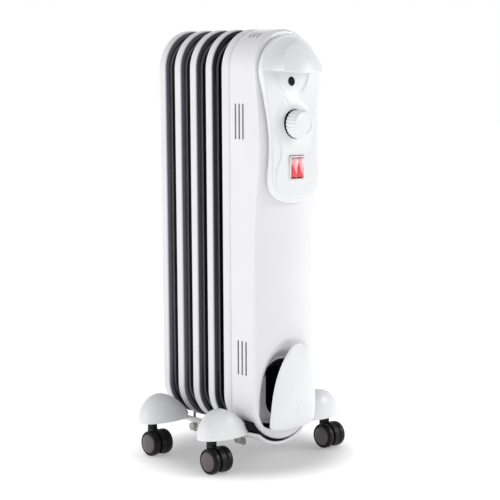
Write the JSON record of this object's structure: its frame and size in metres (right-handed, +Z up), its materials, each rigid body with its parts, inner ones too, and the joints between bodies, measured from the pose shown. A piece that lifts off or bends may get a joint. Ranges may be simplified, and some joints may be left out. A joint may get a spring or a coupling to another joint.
{
  "type": "oil filled radiator heater",
  "caption": "Slim free-standing oil filled radiator with pressed fins, a narrow control box with knob and double rocker, and twin-wheel casters.",
  "frame": {"origin": "on the floor, under the middle of the bounding box", "axes": "+X to the right seen from the front, +Y to the back, +Z up; the control panel faces -Y"},
  "size_m": [0.24, 0.238, 0.5649],
  "materials": {
    "fin_paint": "gloss stove enamel, white on the edge strips, dark in the gaps",
    "white_paint": "gloss white paint",
    "white_plastic": "satin to gloss white moulding",
    "knob_plastic": "white fluted knob",
    "bezel_plastic": "white switch bezel",
    "rocker_red": "translucent red",
    "black_plastic": "black moulding",
    "wheel_plastic": "black nylon, glossy hub caps",
    "black_rubber": "moulded",
    "gasket_rubber": "oil seal",
    "zinc_steel": "zinc plated",
    "galvanised_sheet": "galvanised sheet",
    "ceramic_body": "heat-proof moulding",
    "brass_metal": "turned brass",
    "wire_insulation": "glass-braided silicone leads"
  },
  "bodies": {
    "heater": {"fin_1": "fin_paint", "fin_2": "fin_paint", "fin_3": "fin_paint", "fin_4": "fin_paint", "fin_5": "fin_paint", "element_gasket": "gasket_rubber", "heating_element": "zinc_steel", "filling_plug": "zinc_steel", "heat_shield": "galvanised_sheet", "housing_shell": "white_paint", "front_cover": "white_plastic", "cord_store": "black_plastic", "cord_shield": "white_plastic", "cord_inlet_gland": "black_rubber", "control_panel": "white_plastic", "handle_hood": "white_plastic", "handle_screw": "zinc_steel", "thermostat": "ceramic_body", "switch_housing": "bezel_plastic", "thermal_cutout": "ceramic_body", "terminal_block": "ceramic_body", "wiring_harness": "wire_insulation", "foot_strap_front": "white_paint", "u_bolt_front": "zinc_steel", "wing_nuts_front": "zinc_steel", "caster_cover_front_left": "white_plastic", "caster_cover_front_right": "white_plastic", "foot_strap_rear": "white_paint", "u_bolt_rear": "zinc_steel", "wing_nuts_rear": "zinc_steel", "caster_cover_rear_left": "white_plastic", "caster_cover_rear_right": "white_plastic", "strap_pad": "black_rubber", "stem_front_left": "zinc_steel", "stem_front_right": "zinc_steel", "stem_rear_left": "zinc_steel", "stem_rear_right": "zinc_steel"},
    "knob": {"thermostat_knob": "knob_plastic", "thermostat_spindle": "brass_metal"},
    "rocker_left": {"rocker_left": "rocker_red"},
    "rocker_right": {"rocker_right": "rocker_red"},
    "caster_front_left": {"yoke_front_left": "black_plastic", "axle_front_left": "zinc_steel"},
    "wheel_front_left_a": {"wheel_front_left_a": "wheel_plastic"},
    "wheel_front_left_b": {"wheel_front_left_b": "wheel_plastic"},
    "caster_front_right": {"yoke_front_right": "black_plastic", "axle_front_right": "zinc_steel"},
    "wheel_front_right_a": {"wheel_front_right_a": "wheel_plastic"},
    "wheel_front_right_b": {"wheel_front_right_b": "wheel_plastic"},
    "caster_rear_left": {"yoke_rear_left": "black_plastic", "axle_rear_left": "zinc_steel"},
    "wheel_rear_left_a": {"wheel_rear_left_a": "wheel_plastic"},
    "wheel_rear_left_b": {"wheel_rear_left_b": "wheel_plastic"},
    "caster_rear_right": {"yoke_rear_right": "black_plastic", "axle_rear_right": "zinc_steel"},
    "wheel_rear_right_a": {"wheel_rear_right_a": "wheel_plastic"},
    "wheel_rear_right_b": {"wheel_rear_right_b": "wheel_plastic"}
  },
  "joints": [
    {"name": "thermostat_turn", "type": "hinge", "parent": "heater", "child": "knob", "pos_m": [0, -0.0935, 0.4452], "axis": [0, 1, 0], "range_deg": [0, 290]},
    {"name": "rocker_left_press", "type": "hinge", "parent": "heater", "child": "rocker_left", "pos_m": [-0.0051, -0.0927, 0.3896], "axis": [-1, 0, 0], "range_deg": [0, 20]},
    {"name": "rocker_right_press", "type": "hinge", "parent": "heater", "child": "rocker_right", "pos_m": [0.0051, -0.0927, 0.3896], "axis": [-1, 0, 0], "range_deg": [0, 20]},
    {"name": "caster_front_left_swivel", "type": "hinge", "parent": "heater", "child": "caster_front_left", "pos_m": [-0.1, -0.043, 0.04], "axis": [0, 0, 1], "continuous": true},
    {"name": "wheel_front_left_a_roll", "type": "hinge", "parent": "caster_front_left", "child": "wheel_front_left_a", "pos_m": [-0.11, -0.053, 0.017], "axis": [1, 0, 0], "continuous": true},
    {"name": "wheel_front_left_b_roll", "type": "hinge", "parent": "caster_front_left", "child": "wheel_front_left_b", "pos_m": [-0.09, -0.053, 0.017], "axis": [1, 0, 0], "continuous": true},
    {"name": "caster_front_right_swivel", "type": "hinge", "parent": "heater", "child": "caster_front_right", "pos_m": [0.1, -0.043, 0.04], "axis": [0, 0, 1], "continuous": true},
    {"name": "wheel_front_right_a_roll", "type": "hinge", "parent": "caster_front_right", "child": "wheel_front_right_a", "pos_m": [0.09, -0.053, 0.017], "axis": [1, 0, 0], "continuous": true},
    {"name": "wheel_front_right_b_roll", "type": "hinge", "parent": "caster_front_right", "child": "wheel_front_right_b", "pos_m": [0.11, -0.053, 0.017], "axis": [1, 0, 0], "continuous": true},
    {"name": "caster_rear_left_swivel", "type": "hinge", "parent": "heater", "child": "caster_rear_left", "pos_m": [-0.1, 0.083, 0.04], "axis": [0, 0, 1], "continuous": true},
    {"name": "wheel_rear_left_a_roll", "type": "hinge", "parent": "caster_rear_left", "child": "wheel_rear_left_a", "pos_m": [-0.11, 0.073, 0.017], "axis": [1, 0, 0], "continuous": true},
    {"name": "wheel_rear_left_b_roll", "type": "hinge", "parent": "caster_rear_left", "child": "wheel_rear_left_b", "pos_m": [-0.09, 0.073, 0.017], "axis": [1, 0, 0], "continuous": true},
    {"name": "caster_rear_right_swivel", "type": "hinge", "parent": "heater", "child": "caster_rear_right", "pos_m": [0.1, 0.083, 0.04], "axis": [0, 0, 1], "continuous": true},
    {"name": "wheel_rear_right_a_roll", "type": "hinge", "parent": "caster_rear_right", "child": "wheel_rear_right_a", "pos_m": [0.09, 0.073, 0.017], "axis": [1, 0, 0], "continuous": true},
    {"name": "wheel_rear_right_b_roll", "type": "hinge", "parent": "caster_rear_right", "child": "wheel_rear_right_b", "pos_m": [0.11, 0.073, 0.017], "axis": [1, 0, 0], "continuous": true}
  ]
}
